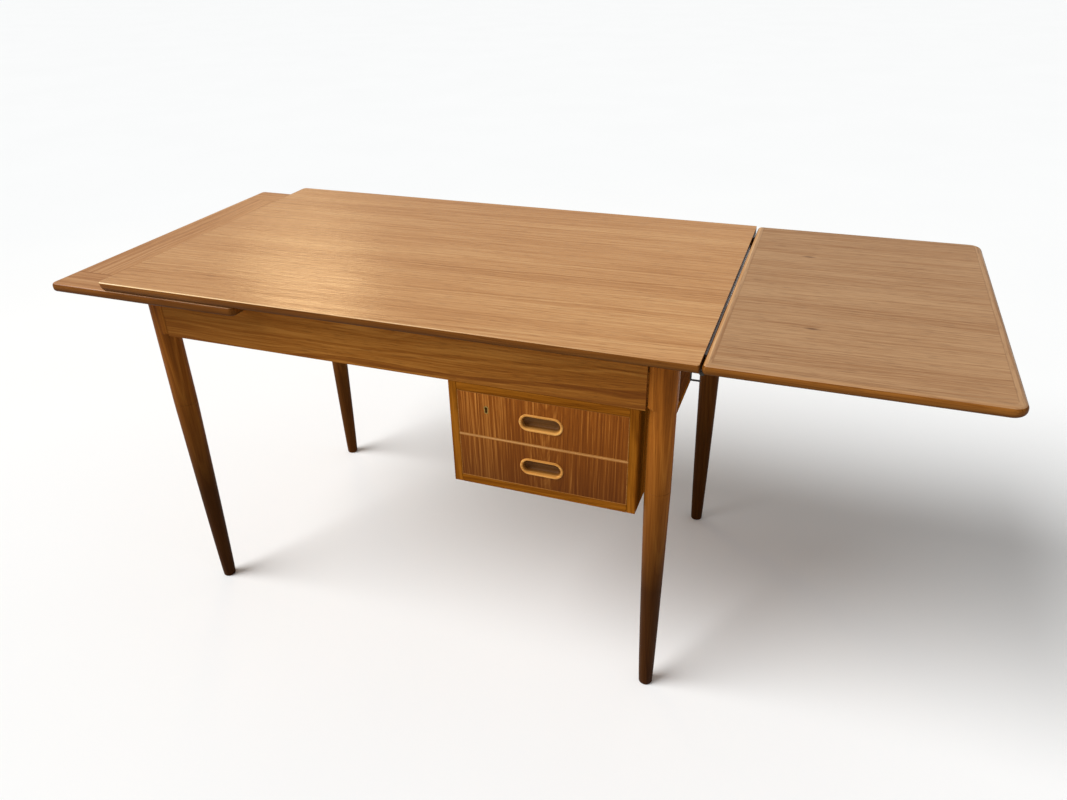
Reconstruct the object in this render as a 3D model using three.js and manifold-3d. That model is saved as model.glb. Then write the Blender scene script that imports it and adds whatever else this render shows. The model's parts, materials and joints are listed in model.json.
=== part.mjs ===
// Drop leaf desk in teak: a fixed top, a hinged drop leaf at the right end, a draw leaf that
// slides out from under the left end, and a case with two drawers hung below the front apron.
// Millimetres, +Z up, front towards -Y. The origin is on the floor, under the middle of the box
// that the table fills with the drop leaf raised and the draw leaf partly out.
import * as THREE from "three";
import { mergeVertices } from "three/addons/utils/BufferGeometryUtils.js";
import Module from "manifold-3d";

const wasm = await Module();
wasm.setup();

// ---- driving dimensions --------------------------------------------------------------------
const HEIGHT = 730;              // floor to the top's upper face
const TOP_LENGTH = 1114;
const TOP_DEPTH = 680;
const BOARD = 17;                // thickness of the top and of both leaves
const TOP_UNDERCUT = 7;          // how far the top's edge runs in at its lower face
const TOP_CORNER = 9;
const TOP_HINGE_CORNER = 4;      // at the hinged end, which is upright instead of undercut
const TOP_LIPPING = 16;
const GAP = 0.3;                 // between pieces that touch
const DROP_LENGTH = 424;
const DROP_GAP = 3;              // open joint between the top and the drop leaf
const DROP_LIPPING = 13;
const DROP_CORNER = 22;
const DROP_INNER_CORNER = 8;
const DROP_ROUND = 7.5;
const DRAW_LENGTH = 422;
const DRAW_OUT = 126;            // how far the draw leaf stands out at rest
const DRAW_INSET = 3;            // its front and back edges lie inside the top's
const DRAW_RAIL = 70;            // width of its front and back rails
const DRAW_BAND = 150;           // width of its cross-grained end band
const DRAW_CORNER = 12;
const DRAW_ROUND = 6;
const LEG_X = [73, 1053];        // leg axes, from the top's left end
const LEG_Y = [66, 614];
const LEG_RADIUS = 22.6;
const FOOT_RADIUS = 12.7;
const FOOT_ROUND = 2.5;          // rounding at the edge of the foot
const LEG_SWELL = 0.75;          // below 1 the taper is slightly full, as turned legs are
const LEG_SEAM = 456;            // the taper starts here
const LEG_SIDES = 28;
const APRON_BOTTOM = 614.5;
const APRON_THICK = 20;
const TENON = { thick: 10, length: 18, shoulder: 14 };
const GUIDE_X = 510;             // rail that the draw leaf's bearers run through
const GUIDE_LIP = 6;             // wood left under its notches
const HANGER = { from: 4, width: 20, below: 2 };   // rails over the case's sides
const BEARER = { y: [170, 510], width: 22, height: 34, start: 60, tail: 560, heel: 26, drop: 20 };
const CASE = { x: [686, 1021], bottom: 410, depth: 516, wall: 15, back: 6 };
const DIVIDER = 2.4;
const DRAWER = {
  clear: 0.7, front: 18, side: 10, height: 66, length: 458, bottom: 4, lift: 8, backDrop: 4,
};
const RUNNER = { height: 10, width: 4.4, length: 430 };
const PULL = { length: 79, height: 33, rim: 4.5, proud: 2, cup: 15, wall: 4, lap: 2 };
const KEYHOLE = { x: 68.5, down: 28, head: 2.6, foot: 1.8, drop: 7, ring: 1.7, ringDeep: 1.5, proud: 0.3 };
const LOCK = { width: 38, height: 40, thick: 9, bolt: 16, boltThick: 4, boltLength: 22, throw: 6, set: 11 };
const HINGE = { y: [48, 632], width: 52, leaf: 39, plate: 3, knuckle: 4.5, pin: 2.5, drop: 6.5 };
const STAY_HOOK = { thick: 2.2, drop: 24, from: 17.5, reach: 15, in: 6 };   // steel hook below each plate
const REACH = 1;                 // how far a cutting tool runs past the face it cuts
const SLIP = 0.5;                // extra room round a part that slides or is let in

// ---- heights and faces that follow from them -----------------------------------------------
const topUnder = HEIGHT - BOARD;
const leafTop = topUnder - GAP;
const leafUnder = leafTop - BOARD;
const frameTop = leafUnder - GAP;
const apronFront = LEG_Y[0] - LEG_RADIUS;
const apronBack = LEG_Y[1] + LEG_RADIUS;
const railLeft = LEG_X[0] - LEG_RADIUS;
const railRight = LEG_X[1] + LEG_RADIUS;
const dropStart = TOP_LENGTH + DROP_GAP;
const restMiddle = (dropStart + DROP_LENGTH - DRAW_OUT) / 2;

// ---- finishes ------------------------------------------------------------------------------
const finish = (color, roughness, metalness = 0) => ({ color, roughness, metalness });
const TEAK_TOP = finish(0xc08a58, 0.42);
const TEAK_LEAF = finish(0xac7c52, 0.45);
const TEAK_FRAME = finish(0x8a5a2c, 0.48);
const TEAK_LEG = finish(0x7c4a1f, 0.45);
const TEAK_VENEER = finish(0x8c5524, 0.42);
const TEAK_PULL = finish(0xd09a5c, 0.4);
const PALE_BEECH = finish(0xc8a878, 0.6);
const STEEL = finish(0x6d6c68, 0.4, 0.9);
const BRASS = finish(0xa98a4e, 0.35, 0.9);

// ---- geometry helpers ----------------------------------------------------------------------
function solid(geometry) {
  const plain = geometry.index ? geometry.toNonIndexed() : geometry.clone();
  plain.deleteAttribute("normal");
  plain.deleteAttribute("uv");
  const merged = mergeVertices(plain, 1e-4);
  return new wasm.Manifold(new wasm.Mesh({
    numProp: 3,
    vertProperties: new Float32Array(merged.attributes.position.array),
    triVerts: new Uint32Array(merged.index.array),
  }));
}

function geometryOf(manifold) {
  const mesh = manifold.getMesh();
  const geometry = new THREE.BufferGeometry();
  geometry.setAttribute("position", new THREE.BufferAttribute(new Float32Array(mesh.vertProperties), 3));
  geometry.setIndex(new THREE.BufferAttribute(new Uint32Array(mesh.triVerts), 1));
  geometry.computeVertexNormals();
  return geometry;
}

function cut(body, ...tools) {
  const rest = tools.reduce((left, tool) => left.subtract(solid(tool)), solid(body));
  return geometryOf(rest);
}

function join(body, ...others) {
  const all = others.reduce((sum, other) => sum.add(solid(other)), solid(body));
  return geometryOf(all);
}

function common(body, other) {
  return geometryOf(solid(body).intersect(solid(other)));
}

const grow = ([from, to], by) => [from - by, to + by];
const shrink = ([from, to], by) => [from + by, to - by];
const span = (from, to) => [Math.min(from, to), Math.max(from, to)];

function block([x0, x1], [y0, y1], [z0, z1]) {
  const geometry = new THREE.BoxGeometry(x1 - x0, y1 - y0, z1 - z0);
  return geometry.translate((x0 + x1) / 2, (y0 + y1) / 2, (z0 + z1) / 2);
}

// An outline in X and Y, carried up from z0 to z1.
function prismUp(points, [z0, z1]) {
  const shape = new THREE.Shape(points.map(([x, y]) => new THREE.Vector2(x, y)));
  const geometry = new THREE.ExtrudeGeometry(shape, { depth: z1 - z0, bevelEnabled: false });
  return geometry.translate(0, 0, z0);
}

// An outline in X and Z, carried back from y0 to y1.
function prismBack(shape, [y0, y1], curveSegments = 12) {
  const geometry = new THREE.ExtrudeGeometry(shape, { depth: y1 - y0, bevelEnabled: false, curveSegments });
  return geometry.rotateX(Math.PI / 2).translate(0, y1, 0);
}

// A rod along Y.
function rod(radius, [y0, y1], x, z, sides = 24) {
  const geometry = new THREE.CylinderGeometry(radius, radius, y1 - y0, sides);
  return geometry.translate(x, (y0 + y1) / 2, z);
}

// A slot with round ends, in X and Z.
function stadium(length, height, x, z) {
  const r = height / 2;
  const reach = length / 2 - r;
  const shape = new THREE.Shape();
  shape.moveTo(x - reach, z - r);
  shape.lineTo(x + reach, z - r);
  shape.absarc(x + reach, z, r, -Math.PI / 2, Math.PI / 2, false);
  shape.lineTo(x - reach, z + r);
  shape.absarc(x - reach, z, r, Math.PI / 2, 3 * Math.PI / 2, false);
  return shape;
}

// A keyhole: a round head over a narrower foot with a round end.
function keyhole(x, z, grow) {
  const { head, foot, drop } = KEYHOLE;
  const halfFoot = foot + grow;
  const radius = head + grow;
  const start = Math.asin(halfFoot / radius);
  const shape = new THREE.Shape();
  shape.absarc(x, z, radius, -Math.PI / 2 + start, 3 * Math.PI / 2 - start, false);
  shape.lineTo(x - halfFoot, z - drop);
  shape.absarc(x, z - drop, halfFoot, Math.PI, 2 * Math.PI, false);
  return shape;
}

// A rectangle with round corners, drawn in by inset; radii run front left, front right, back right,
// back left. The right end is drawn in by only a share of the inset.
const CORNER_STEPS = 6;
const LEAST_CORNER = 0.4;
function roundedOutline([x0, x1], [y0, y1], radii, inset, rightShare) {
  const corners = [
    [x0, y0, 1, 1, Math.PI],
    [x1, y0, -1, 1, 1.5 * Math.PI],
    [x1, y1, -1, -1, 0],
    [x0, y1, 1, -1, 0.5 * Math.PI],
  ];
  return corners.flatMap(([x, y, sx, sy, start], corner) => {
    const r = radii[corner];
    const drawn = Math.max(r - inset, LEAST_CORNER);
    const offsetX = (sx < 0 ? rightShare : 1) * inset + drawn;
    const offsetY = inset + drawn;
    return Array.from({ length: CORNER_STEPS + 1 }, (_, step) => {
      const angle = start + (step / CORNER_STEPS) * Math.PI / 2;
      return [x + sx * offsetX + drawn * Math.cos(angle), y + sy * offsetY + drawn * Math.sin(angle)];
    });
  });
}

// A board whose edge follows a profile: levels is a list of [height above the under face, inset].
function board(xs, ys, under, radii, levels, rightShare = 1) {
  const rings = levels.map(([up, inset]) =>
    roundedOutline(xs, ys, radii, inset, rightShare).map(([x, y]) => [x, y, under + up]));
  const count = rings[0].length;
  const indices = [];
  for (let ring = 0; ring < rings.length - 1; ring++) {
    for (let i = 0; i < count; i++) {
      const a = ring * count + i;
      const b = ring * count + (i + 1) % count;
      indices.push(a, b, b + count, a, b + count, a + count);
    }
  }
  const last = (rings.length - 1) * count;
  for (let i = 1; i < count - 1; i++) {
    indices.push(0, i + 1, i);
    indices.push(last, last + i, last + i + 1);
  }
  const geometry = new THREE.BufferGeometry();
  geometry.setAttribute("position", new THREE.Float32BufferAttribute(rings.flat(2), 3));
  geometry.setIndex(indices);
  return geometry;
}

// Quarter of an ellipse: upright at the upper face, running in under the board.
function undercutEdge(thickness, depth, steps = 6) {
  return Array.from({ length: steps + 1 }, (_, i) => {
    const t = 1 - Math.cos((i / steps) * Math.PI / 2);
    return [thickness * t, depth * (1 - Math.sqrt(1 - (1 - t) ** 2))];
  });
}

// Round over both arrises with a radius, or nearly a half round when the radius is half the board.
function roundedEdge(thickness, radius, steps = 4) {
  const lower = Array.from({ length: steps + 1 }, (_, i) => {
    const angle = (i / steps) * Math.PI / 2;
    return [radius * (1 - Math.cos(angle)), radius * (1 - Math.sin(angle))];
  });
  const upper = lower.map(([up, inset]) => [thickness - up, inset]).reverse();
  return [...lower, ...upper];
}

// The four mitred lippings of a board and the panel inside them.
function lipped(whole, [x0, x1], [y0, y1], under, width, nodes) {
  const reach = 2 * REACH;
  const half = GAP / 2;
  const [innerX, innerY] = [[x0 + width, x1 - width], [y0 + width, y1 - width]];
  const zs = grow([under, under + BOARD], REACH);
  // a mitre runs from beyond the outer corner to the panel's corner, half a gap off the diagonal
  const wedge = (side) => {
    const along = side === "front" || side === "back";
    const near = side === "front" || side === "left";
    const [lo, hi] = along ? [x0, x1] : [y0, y1];
    const edge = along ? (near ? y0 : y1) : (near ? x0 : x1);
    const inward = near ? 1 : -1;
    const points = [
      [lo - reach + half, edge - reach * inward],
      [hi + reach - half, edge - reach * inward],
      [hi - width - half, edge + width * inward],
      [lo + width + half, edge + width * inward],
    ];
    const turned = along ? points : points.map(([u, v]) => [v, u]);
    return prismUp(turned, zs);
  };
  const pieces = {
    [`${nodes}_panel`]: common(whole, block(
      [innerX[0] + GAP, innerX[1] - GAP], [innerY[0] + GAP, innerY[1] - GAP], zs)),
  };
  const sides = ["front", "back", "left", "right"];
  sides.forEach((side) => {
    pieces[`${nodes}_lipping_${side}`] = common(whole, wedge(side));
  });
  return pieces;
}

// ---- the assembly --------------------------------------------------------------------------
const table = new THREE.Group();
table.name = "drop_leaf_table";
table.position.set(-restMiddle, -TOP_DEPTH / 2, 0);

function place(name, geometry, look) {
  const mesh = new THREE.Mesh(geometry, new THREE.MeshStandardMaterial(look));
  mesh.name = name;
  table.add(mesh);
}

// fixed top: a veneered panel in four mitred lippings, its edge undercut except at the hinged end
const topX = [0, TOP_LENGTH];
const topY = [0, TOP_DEPTH];
const topRadii = [TOP_CORNER, TOP_HINGE_CORNER, TOP_HINGE_CORNER, TOP_CORNER];
const topBoard = board(topX, topY, topUnder, topRadii, undercutEdge(BOARD, TOP_UNDERCUT), 0);
const topPieces = lipped(topBoard, topX, topY, topUnder, TOP_LIPPING, "main_top");
Object.entries(topPieces).forEach(([name, geometry]) => place(name, geometry, TEAK_TOP));

// drop leaf: the same build with a half-round edge
const dropX = [dropStart, dropStart + DROP_LENGTH];
const dropRadii = [DROP_INNER_CORNER, DROP_CORNER, DROP_CORNER, DROP_INNER_CORNER];
const dropBoard = board(dropX, topY, topUnder, dropRadii, roundedEdge(BOARD, DROP_ROUND));
const dropPieces = lipped(dropBoard, dropX, topY, topUnder, DROP_LIPPING, "drop_leaf");
Object.entries(dropPieces).forEach(([name, geometry]) => place(name, geometry, TEAK_LEAF));

// draw leaf: front and back rails, a cross-grained end band and a hidden inner panel
const drawX = [-DRAW_OUT, DRAW_LENGTH - DRAW_OUT];
const drawY = [DRAW_INSET, TOP_DEPTH - DRAW_INSET];
const drawRadii = Array(4).fill(DRAW_CORNER);
const drawBoard = board(drawX, drawY, leafUnder, drawRadii, roundedEdge(BOARD, DRAW_ROUND));
const drawZ = grow([leafUnder, leafTop], REACH);
const beyond = grow(drawX, REACH);
const frontRailY = [drawY[0] - REACH, drawY[0] + DRAW_RAIL];
const backRailY = [drawY[1] - DRAW_RAIL, drawY[1] + REACH];
const betweenRails = [frontRailY[1] + GAP, backRailY[0] - GAP];
const bandX = [beyond[0], drawX[0] + DRAW_BAND];
place("draw_leaf_front_rail", common(drawBoard, block(beyond, frontRailY, drawZ)), TEAK_TOP);
place("draw_leaf_back_rail", common(drawBoard, block(beyond, backRailY, drawZ)), TEAK_TOP);
place("draw_leaf_end_band", common(drawBoard, block(bandX, betweenRails, drawZ)), TEAK_TOP);
const innerPanel = block([bandX[1] + GAP, beyond[1]], betweenRails, drawZ);
place("draw_leaf_panel", common(drawBoard, innerPanel), TEAK_TOP);

// bearers under the draw leaf, each with a deeper heel that stops it at the guide rail
const bearerX = [drawX[0] + BEARER.start, drawX[1] + BEARER.tail];
BEARER.y.forEach((middle, i) => {
  const ys = [middle - BEARER.width / 2, middle + BEARER.width / 2];
  const bar = block(bearerX, ys, [frameTop - BEARER.height, frameTop]);
  const heel = block([bearerX[1] - BEARER.heel, bearerX[1]], ys,
    [frameTop - BEARER.height - BEARER.drop, frameTop]);
  place(`draw_leaf_bearer_${["front", "back"][i]}`, join(bar, heel), PALE_BEECH);
});

// notches that let both bearers through a rail
const bearerNotches = (xs) => BEARER.y.map((middle) => block(
  grow(xs, REACH),
  grow([middle - BEARER.width / 2, middle + BEARER.width / 2], SLIP),
  [frameTop - BEARER.height - SLIP, frameTop + REACH]));

// legs: a turned taper under a head that is square where the aprons meet it
function legTurning() {
  const radiusAt = (z) => FOOT_RADIUS + (LEG_RADIUS - FOOT_RADIUS) * (z / LEG_SEAM) ** LEG_SWELL;
  const steps = 8;
  const taper = Array.from({ length: steps + 1 }, (_, i) =>
    FOOT_ROUND + (i / steps) * (LEG_SEAM - FOOT_ROUND));
  const profile = [
    new THREE.Vector2(0, 0),
    new THREE.Vector2(FOOT_RADIUS - FOOT_ROUND, 0),
    ...taper.map((z) => new THREE.Vector2(radiusAt(z), z)),
    new THREE.Vector2(LEG_RADIUS, frameTop),
    new THREE.Vector2(0, frameTop),
  ];
  return new THREE.LatheGeometry(profile, LEG_SIDES).rotateX(Math.PI / 2);
}

const tenonZ = [APRON_BOTTOM + TENON.shoulder, frameTop - TENON.shoulder];
const tenonInset = (APRON_THICK - TENON.thick) / 2;
const sideNames = { x: ["left", "right"], y: ["front", "back"] };
LEG_X.forEach((x, i) => LEG_Y.forEach((y, j) => {
  const inX = i === 0 ? 1 : -1;
  const inY = j === 0 ? 1 : -1;
  const head = [APRON_BOTTOM, frameTop];
  const towardsX = block(span(x, x + inX * LEG_RADIUS), span(y - LEG_RADIUS, y + LEG_RADIUS), head);
  const towardsY = block(span(x - LEG_RADIUS, x + LEG_RADIUS), span(y, y + inY * LEG_RADIUS), head);
  const turned = legTurning().translate(x, y, 0);
  const mortiseDepth = LEG_RADIUS - TENON.length - SLIP;
  const outerX = x - inX * LEG_RADIUS;
  const outerY = y - inY * LEG_RADIUS;
  const mortiseX = block(
    span(x + inX * mortiseDepth, x + inX * (LEG_RADIUS + REACH)),
    span(outerY + inY * (tenonInset - GAP), outerY + inY * (tenonInset + TENON.thick + GAP)),
    [tenonZ[0] - GAP, tenonZ[1] + GAP]);
  const mortiseY = block(
    span(outerX + inX * (tenonInset - GAP), outerX + inX * (tenonInset + TENON.thick + GAP)),
    span(y + inY * mortiseDepth, y + inY * (LEG_RADIUS + REACH)),
    [tenonZ[0] - GAP, tenonZ[1] + GAP]);
  const name = `leg_${sideNames.y[j]}_${sideNames.x[i]}`;
  place(name, cut(join(turned, towardsX, towardsY), mortiseX, mortiseY), TEAK_LEG);
}));

// aprons and end rails with their tenons, flush with the legs' outer faces
const apronX = [LEG_X[0] + LEG_RADIUS + GAP, LEG_X[1] - LEG_RADIUS - GAP];
const railY = [LEG_Y[0] + LEG_RADIUS + GAP, LEG_Y[1] - LEG_RADIUS - GAP];
const apronZ = [APRON_BOTTOM, frameTop];
const apronY = {
  front: [apronFront, apronFront + APRON_THICK],
  back: [apronBack - APRON_THICK, apronBack],
};
Object.entries(apronY).forEach(([side, ys]) => {
  const tenons = block(grow(apronX, TENON.length), shrink(ys, tenonInset), tenonZ);
  place(`${side}_apron`, join(block(apronX, ys, apronZ), tenons), TEAK_FRAME);
});
const railX = {
  left: [railLeft, railLeft + APRON_THICK],
  right: [railRight - APRON_THICK, railRight],
};
Object.entries(railX).forEach(([side, xs]) => {
  const tenons = block(shrink(xs, tenonInset), grow(railY, TENON.length), tenonZ);
  const rail = join(block(xs, railY, apronZ), tenons);
  place(`${side}_end_rail`, side === "left" ? cut(rail, ...bearerNotches(xs)) : rail, TEAK_FRAME);
});

// inside the frame: the bearers' guide rail and the two rails that the drawer case hangs from
const insideY = [apronY.front[1] + GAP, apronY.back[0] - GAP];
const guideX = [GUIDE_X, GUIDE_X + APRON_THICK];
const heelUnder = frameTop - BEARER.height - BEARER.drop;
const guideRail = block(guideX, insideY, [heelUnder - GUIDE_LIP, frameTop]);
place("bearer_guide_rail", cut(guideRail, ...bearerNotches(guideX)), PALE_BEECH);
const hangerTop = heelUnder - HANGER.below;
CASE.x.forEach((x, i) => {
  const towards = i === 0 ? 1 : -1;
  const near = x + towards * (CASE.wall + HANGER.from);
  const xs = span(near, near + towards * HANGER.width);
  place(`case_hanger_rail_${sideNames.x[i]}`, block(xs, insideY, [APRON_BOTTOM, hangerTop]), PALE_BEECH);
});

// centre board: packs the space between the frame and the top, behind the closed draw leaf
place("centre_board",
  block([DRAW_LENGTH + 3 * SLIP, railRight], [apronFront, apronBack], [leafUnder, leafTop]), PALE_BEECH);

// drawer case
const caseTop = APRON_BOTTOM - GAP;
const caseFront = apronFront;
const caseBack = caseFront + CASE.depth;
const innerX = shrink(CASE.x, CASE.wall);
const innerZ = [CASE.bottom + CASE.wall, caseTop - CASE.wall];
const caseY = [caseFront, caseBack];
const dividerMiddle = (innerZ[0] + innerZ[1]) / 2;
const dividerZ = [dividerMiddle - DIVIDER / 2, dividerMiddle + DIVIDER / 2];
place("case_side_left", block([CASE.x[0], innerX[0]], caseY, [CASE.bottom, caseTop]), TEAK_FRAME);
place("case_side_right", block([innerX[1], CASE.x[1]], caseY, [CASE.bottom, caseTop]), TEAK_FRAME);
const betweenSides = shrink(innerX, GAP);
const panelY = [caseY[0], caseY[1] - CASE.back - GAP];
const keyX = innerX[0] + KEYHOLE.x - CASE.wall;
const boltY = [caseFront + LOCK.set, caseFront + LOCK.set + LOCK.boltThick];
const strike = block(grow([keyX - LOCK.bolt / 2, keyX + LOCK.bolt / 2], 2 * SLIP), grow(boltY, 2 * SLIP),
  [innerZ[1] - REACH, innerZ[1] + LOCK.throw + 4 * SLIP]);
place("case_top", cut(block(betweenSides, panelY, [innerZ[1], caseTop]), strike), TEAK_FRAME);
place("case_bottom", block(betweenSides, panelY, [CASE.bottom, innerZ[0]]), TEAK_FRAME);
const backPanel = block(betweenSides, [caseY[1] - CASE.back, caseY[1]], [CASE.bottom, caseTop]);
place("case_back", backPanel, PALE_BEECH);
place("case_divider", block(betweenSides, [caseY[0], caseY[0] + DRAWER.front], dividerZ), TEAK_PULL);

// drawers
const drawerBays = {
  upper: [dividerZ[1] + DRAWER.clear, innerZ[1] - DRAWER.clear],
  lower: [innerZ[0] + DRAWER.clear, dividerZ[0] - DRAWER.clear],
};
const frontX = shrink(innerX, DRAWER.clear);
const boxX = shrink(innerX, 2 * SLIP);
const frontY = [caseFront + SLIP, caseFront + SLIP + DRAWER.front];
const pullX = (frontX[0] + frontX[1]) / 2;

function drawer(bay, [z0, z1]) {
  const middle = (z0 + z1) / 2;
  const sideZ = [middle - DRAWER.height / 2, middle + DRAWER.height / 2];
  const sideY = [frontY[1] + GAP, frontY[1] + GAP + DRAWER.length];
  const bottomZ = [sideZ[0] + DRAWER.lift, sideZ[0] + DRAWER.lift + DRAWER.bottom];
  const runnerZ = [middle - RUNNER.height / 2, middle + RUNNER.height / 2];
  const runnerY = [sideY[1] - RUNNER.length, sideY[1]];

  // front, cut through for the cup of the pull
  const slot = (inset) => stadium(PULL.length - 2 * inset, PULL.height - 2 * inset, pullX, middle);
  const rimFace = frontY[0] - PULL.proud;
  const cupHole = prismBack(slot(PULL.lap - GAP), grow(frontY, REACH));
  const panel = block(frontX, frontY, [z0, z1]);
  if (bay === "upper") {
    const keyZ = z1 - KEYHOLE.down;
    const lockX = [keyX - LOCK.width / 2, keyX + LOCK.width / 2];
    const lockY = [frontY[1] - LOCK.thick, frontY[1]];
    const lockZ = [z1 - LOCK.height, z1];
    const pocket = block(grow(lockX, GAP), [lockY[0] - GAP, lockY[1] + REACH], [lockZ[0] - GAP, z1 + REACH]);
    const keyway = prismBack(keyhole(keyX, keyZ, 0), [frontY[0] - REACH, lockY[0] + REACH], 8);
    const seatY = [frontY[0] - REACH, frontY[0] + KEYHOLE.ringDeep + GAP];
    const seat = prismBack(keyhole(keyX, keyZ, KEYHOLE.ring + GAP), seatY, 8);
    place("upper_drawer_front", cut(panel, cupHole, pocket, keyway, seat), TEAK_VENEER);

    // escutcheon: a thin keyhole-shaped ring let into the front
    const ringY = [frontY[0] - KEYHOLE.proud, frontY[0] + KEYHOLE.ringDeep];
    const ring = prismBack(keyhole(keyX, keyZ, KEYHOLE.ring), ringY, 8);
    const ringHole = prismBack(keyhole(keyX, keyZ, 0), grow(frontY, REACH), 8);
    place("keyhole_escutcheon", cut(ring, ringHole), BRASS);

    // lock: its bolt rises into the case's top
    const boltX = [keyX - LOCK.bolt / 2, keyX + LOCK.bolt / 2];
    const boltZ = [z1 - LOCK.boltLength, z1 - GAP];
    const body = block(lockX, lockY, [lockZ[0], z1 - GAP]);
    const boltSlot = block(grow(boltX, GAP), grow(boltY, GAP), [boltZ[0] - GAP, z1 + REACH]);
    const lockKeyway = prismBack(keyhole(keyX, keyZ, 0), [lockY[0] - REACH, lockY[0] + REACH], 8);
    place("drawer_lock_case", cut(body, boltSlot, lockKeyway), STEEL);
    place("drawer_lock_bolt", block(boltX, boltY, boltZ), BRASS);
  } else {
    place("lower_drawer_front", cut(panel, cupHole), TEAK_VENEER);
  }

  // pull: a cup with a raised rim that laps the front
  const cup = prismBack(slot(PULL.lap), [rimFace, rimFace + PULL.cup + PULL.wall]);
  const rim = prismBack(slot(0), [rimFace, frontY[0] - GAP]);
  const hollow = prismBack(slot(PULL.rim), [rimFace - REACH, rimFace + PULL.cup]);
  place(`${bay}_drawer_pull`, cut(join(cup, rim), hollow), TEAK_PULL);

  // sides, grooved outside for the runner and inside for the bottom
  const grooveDepth = DRAWER.side / 2 - 1;
  const walls = { left: [boxX[0], boxX[0] + DRAWER.side], right: [boxX[1] - DRAWER.side, boxX[1]] };
  Object.entries(walls).forEach(([side, xs]) => {
    const outward = side === "left" ? -1 : 1;
    const outer = outward < 0 ? xs[0] : xs[1];
    const inner = outward < 0 ? xs[1] : xs[0];
    const runnerGroove = block(span(outer + outward * REACH, outer - outward * grooveDepth),
      [runnerY[0] - 4 * SLIP, sideY[1] + REACH], grow(runnerZ, SLIP));
    const bottomGroove = block(span(inner - outward * REACH, inner + outward * grooveDepth),
      grow(sideY, REACH), grow(bottomZ, GAP));
    const wall = cut(block(xs, sideY, sideZ), runnerGroove, bottomGroove);
    place(`${bay}_drawer_side_${side}`, wall, PALE_BEECH);
    const wallX = outward < 0 ? innerX[0] : innerX[1];
    const runnerX = span(wallX - outward * GAP, wallX - outward * (GAP + RUNNER.width));
    place(`${bay}_runner_${side}`, block(runnerX, runnerY, runnerZ), PALE_BEECH);
  });
  const backX = [walls.left[1] + GAP, walls.right[0] - GAP];
  const backY = [sideY[1] - DRAWER.side, sideY[1]];
  const backZ = [bottomZ[1] + GAP, sideZ[1] - DRAWER.backDrop];
  place(`${bay}_drawer_back`, block(backX, backY, backZ), PALE_BEECH);
  place(`${bay}_drawer_bottom`,
    block(grow(backX, grooveDepth - GAP), [sideY[0] + GAP, sideY[1] - GAP], bottomZ), PALE_BEECH);
}
Object.entries(drawerBays).forEach(([bay, zs]) => drawer(bay, zs));

// hinges of the drop leaf, their pins under the open joint
const pinX = TOP_LENGTH + DROP_GAP / 2;
const pinZ = topUnder - HINGE.drop;
const plateZ = [topUnder - GAP - HINGE.plate, topUnder - GAP];
HINGE.y.forEach((middle, i) => {
  const side = sideNames.y[i];
  const [y0, y1] = [middle - HINGE.width / 2, middle + HINGE.width / 2];
  const third = HINGE.width / 3;
  const bore = rod(HINGE.pin + GAP, grow([y0, y1], REACH), pinX, pinZ);
  const knuckle = (from, to) => rod(HINGE.knuckle, [from, to], pinX, pinZ);
  const arm = (xs, ys) => block(xs, ys, [pinZ, plateZ[1]]);
  const fixedArmX = [pinX - HINGE.knuckle, pinX - SLIP];
  const movingArmX = [pinX + SLIP, pinX + HINGE.knuckle];
  const ends = [[y0, y0 + third - GAP], [y1 - third + GAP, y1]];
  const centre = [y0 + third, y1 - third];
  const fixedPlate = block([pinX - HINGE.leaf, pinX - HINGE.knuckle + REACH], [y0, y1], plateZ);
  const movingPlate = block([pinX + HINGE.knuckle - REACH, pinX + HINGE.leaf], [y0, y1], plateZ);
  const hookMiddle = i === 0 ? y0 + STAY_HOOK.in : y1 - STAY_HOOK.in;
  const hookY = [hookMiddle - STAY_HOOK.thick / 2, hookMiddle + STAY_HOOK.thick / 2];
  const hookX = [pinX - STAY_HOOK.from, pinX - STAY_HOOK.from + STAY_HOOK.reach];
  const hookUnder = plateZ[1] - STAY_HOOK.drop;
  const hookStem = block([hookX[0], hookX[0] + STAY_HOOK.thick], hookY, [hookUnder, plateZ[1]]);
  const hookArm = block(hookX, hookY, [hookUnder, hookUnder + STAY_HOOK.thick]);
  const knuckles = ends.flatMap((ys) => [knuckle(...ys), arm(fixedArmX, ys)]);
  const fixed = join(fixedPlate, hookStem, hookArm, ...knuckles);
  const moving = join(movingPlate, knuckle(...centre), arm(movingArmX, centre));
  place(`hinge_top_plate_${side}`, cut(fixed, bore), STEEL);
  place(`hinge_leaf_plate_${side}`, cut(moving, bore), STEEL);
  place(`hinge_pin_${side}`, rod(HINGE.pin, grow([y0, y1], REACH), pinX, pinZ), STEEL);
});

export default table;
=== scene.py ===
# %% [markdown]
# # A drop leaf desk in teak
# The desk has a fixed top, a leaf hinged at its right end, a second leaf that draws out from under
# its left end, and two drawers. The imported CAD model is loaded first. It fixes every size and
# place, so each new piece is built where its CAD node says it is.

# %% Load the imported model
import json
import math

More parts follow.
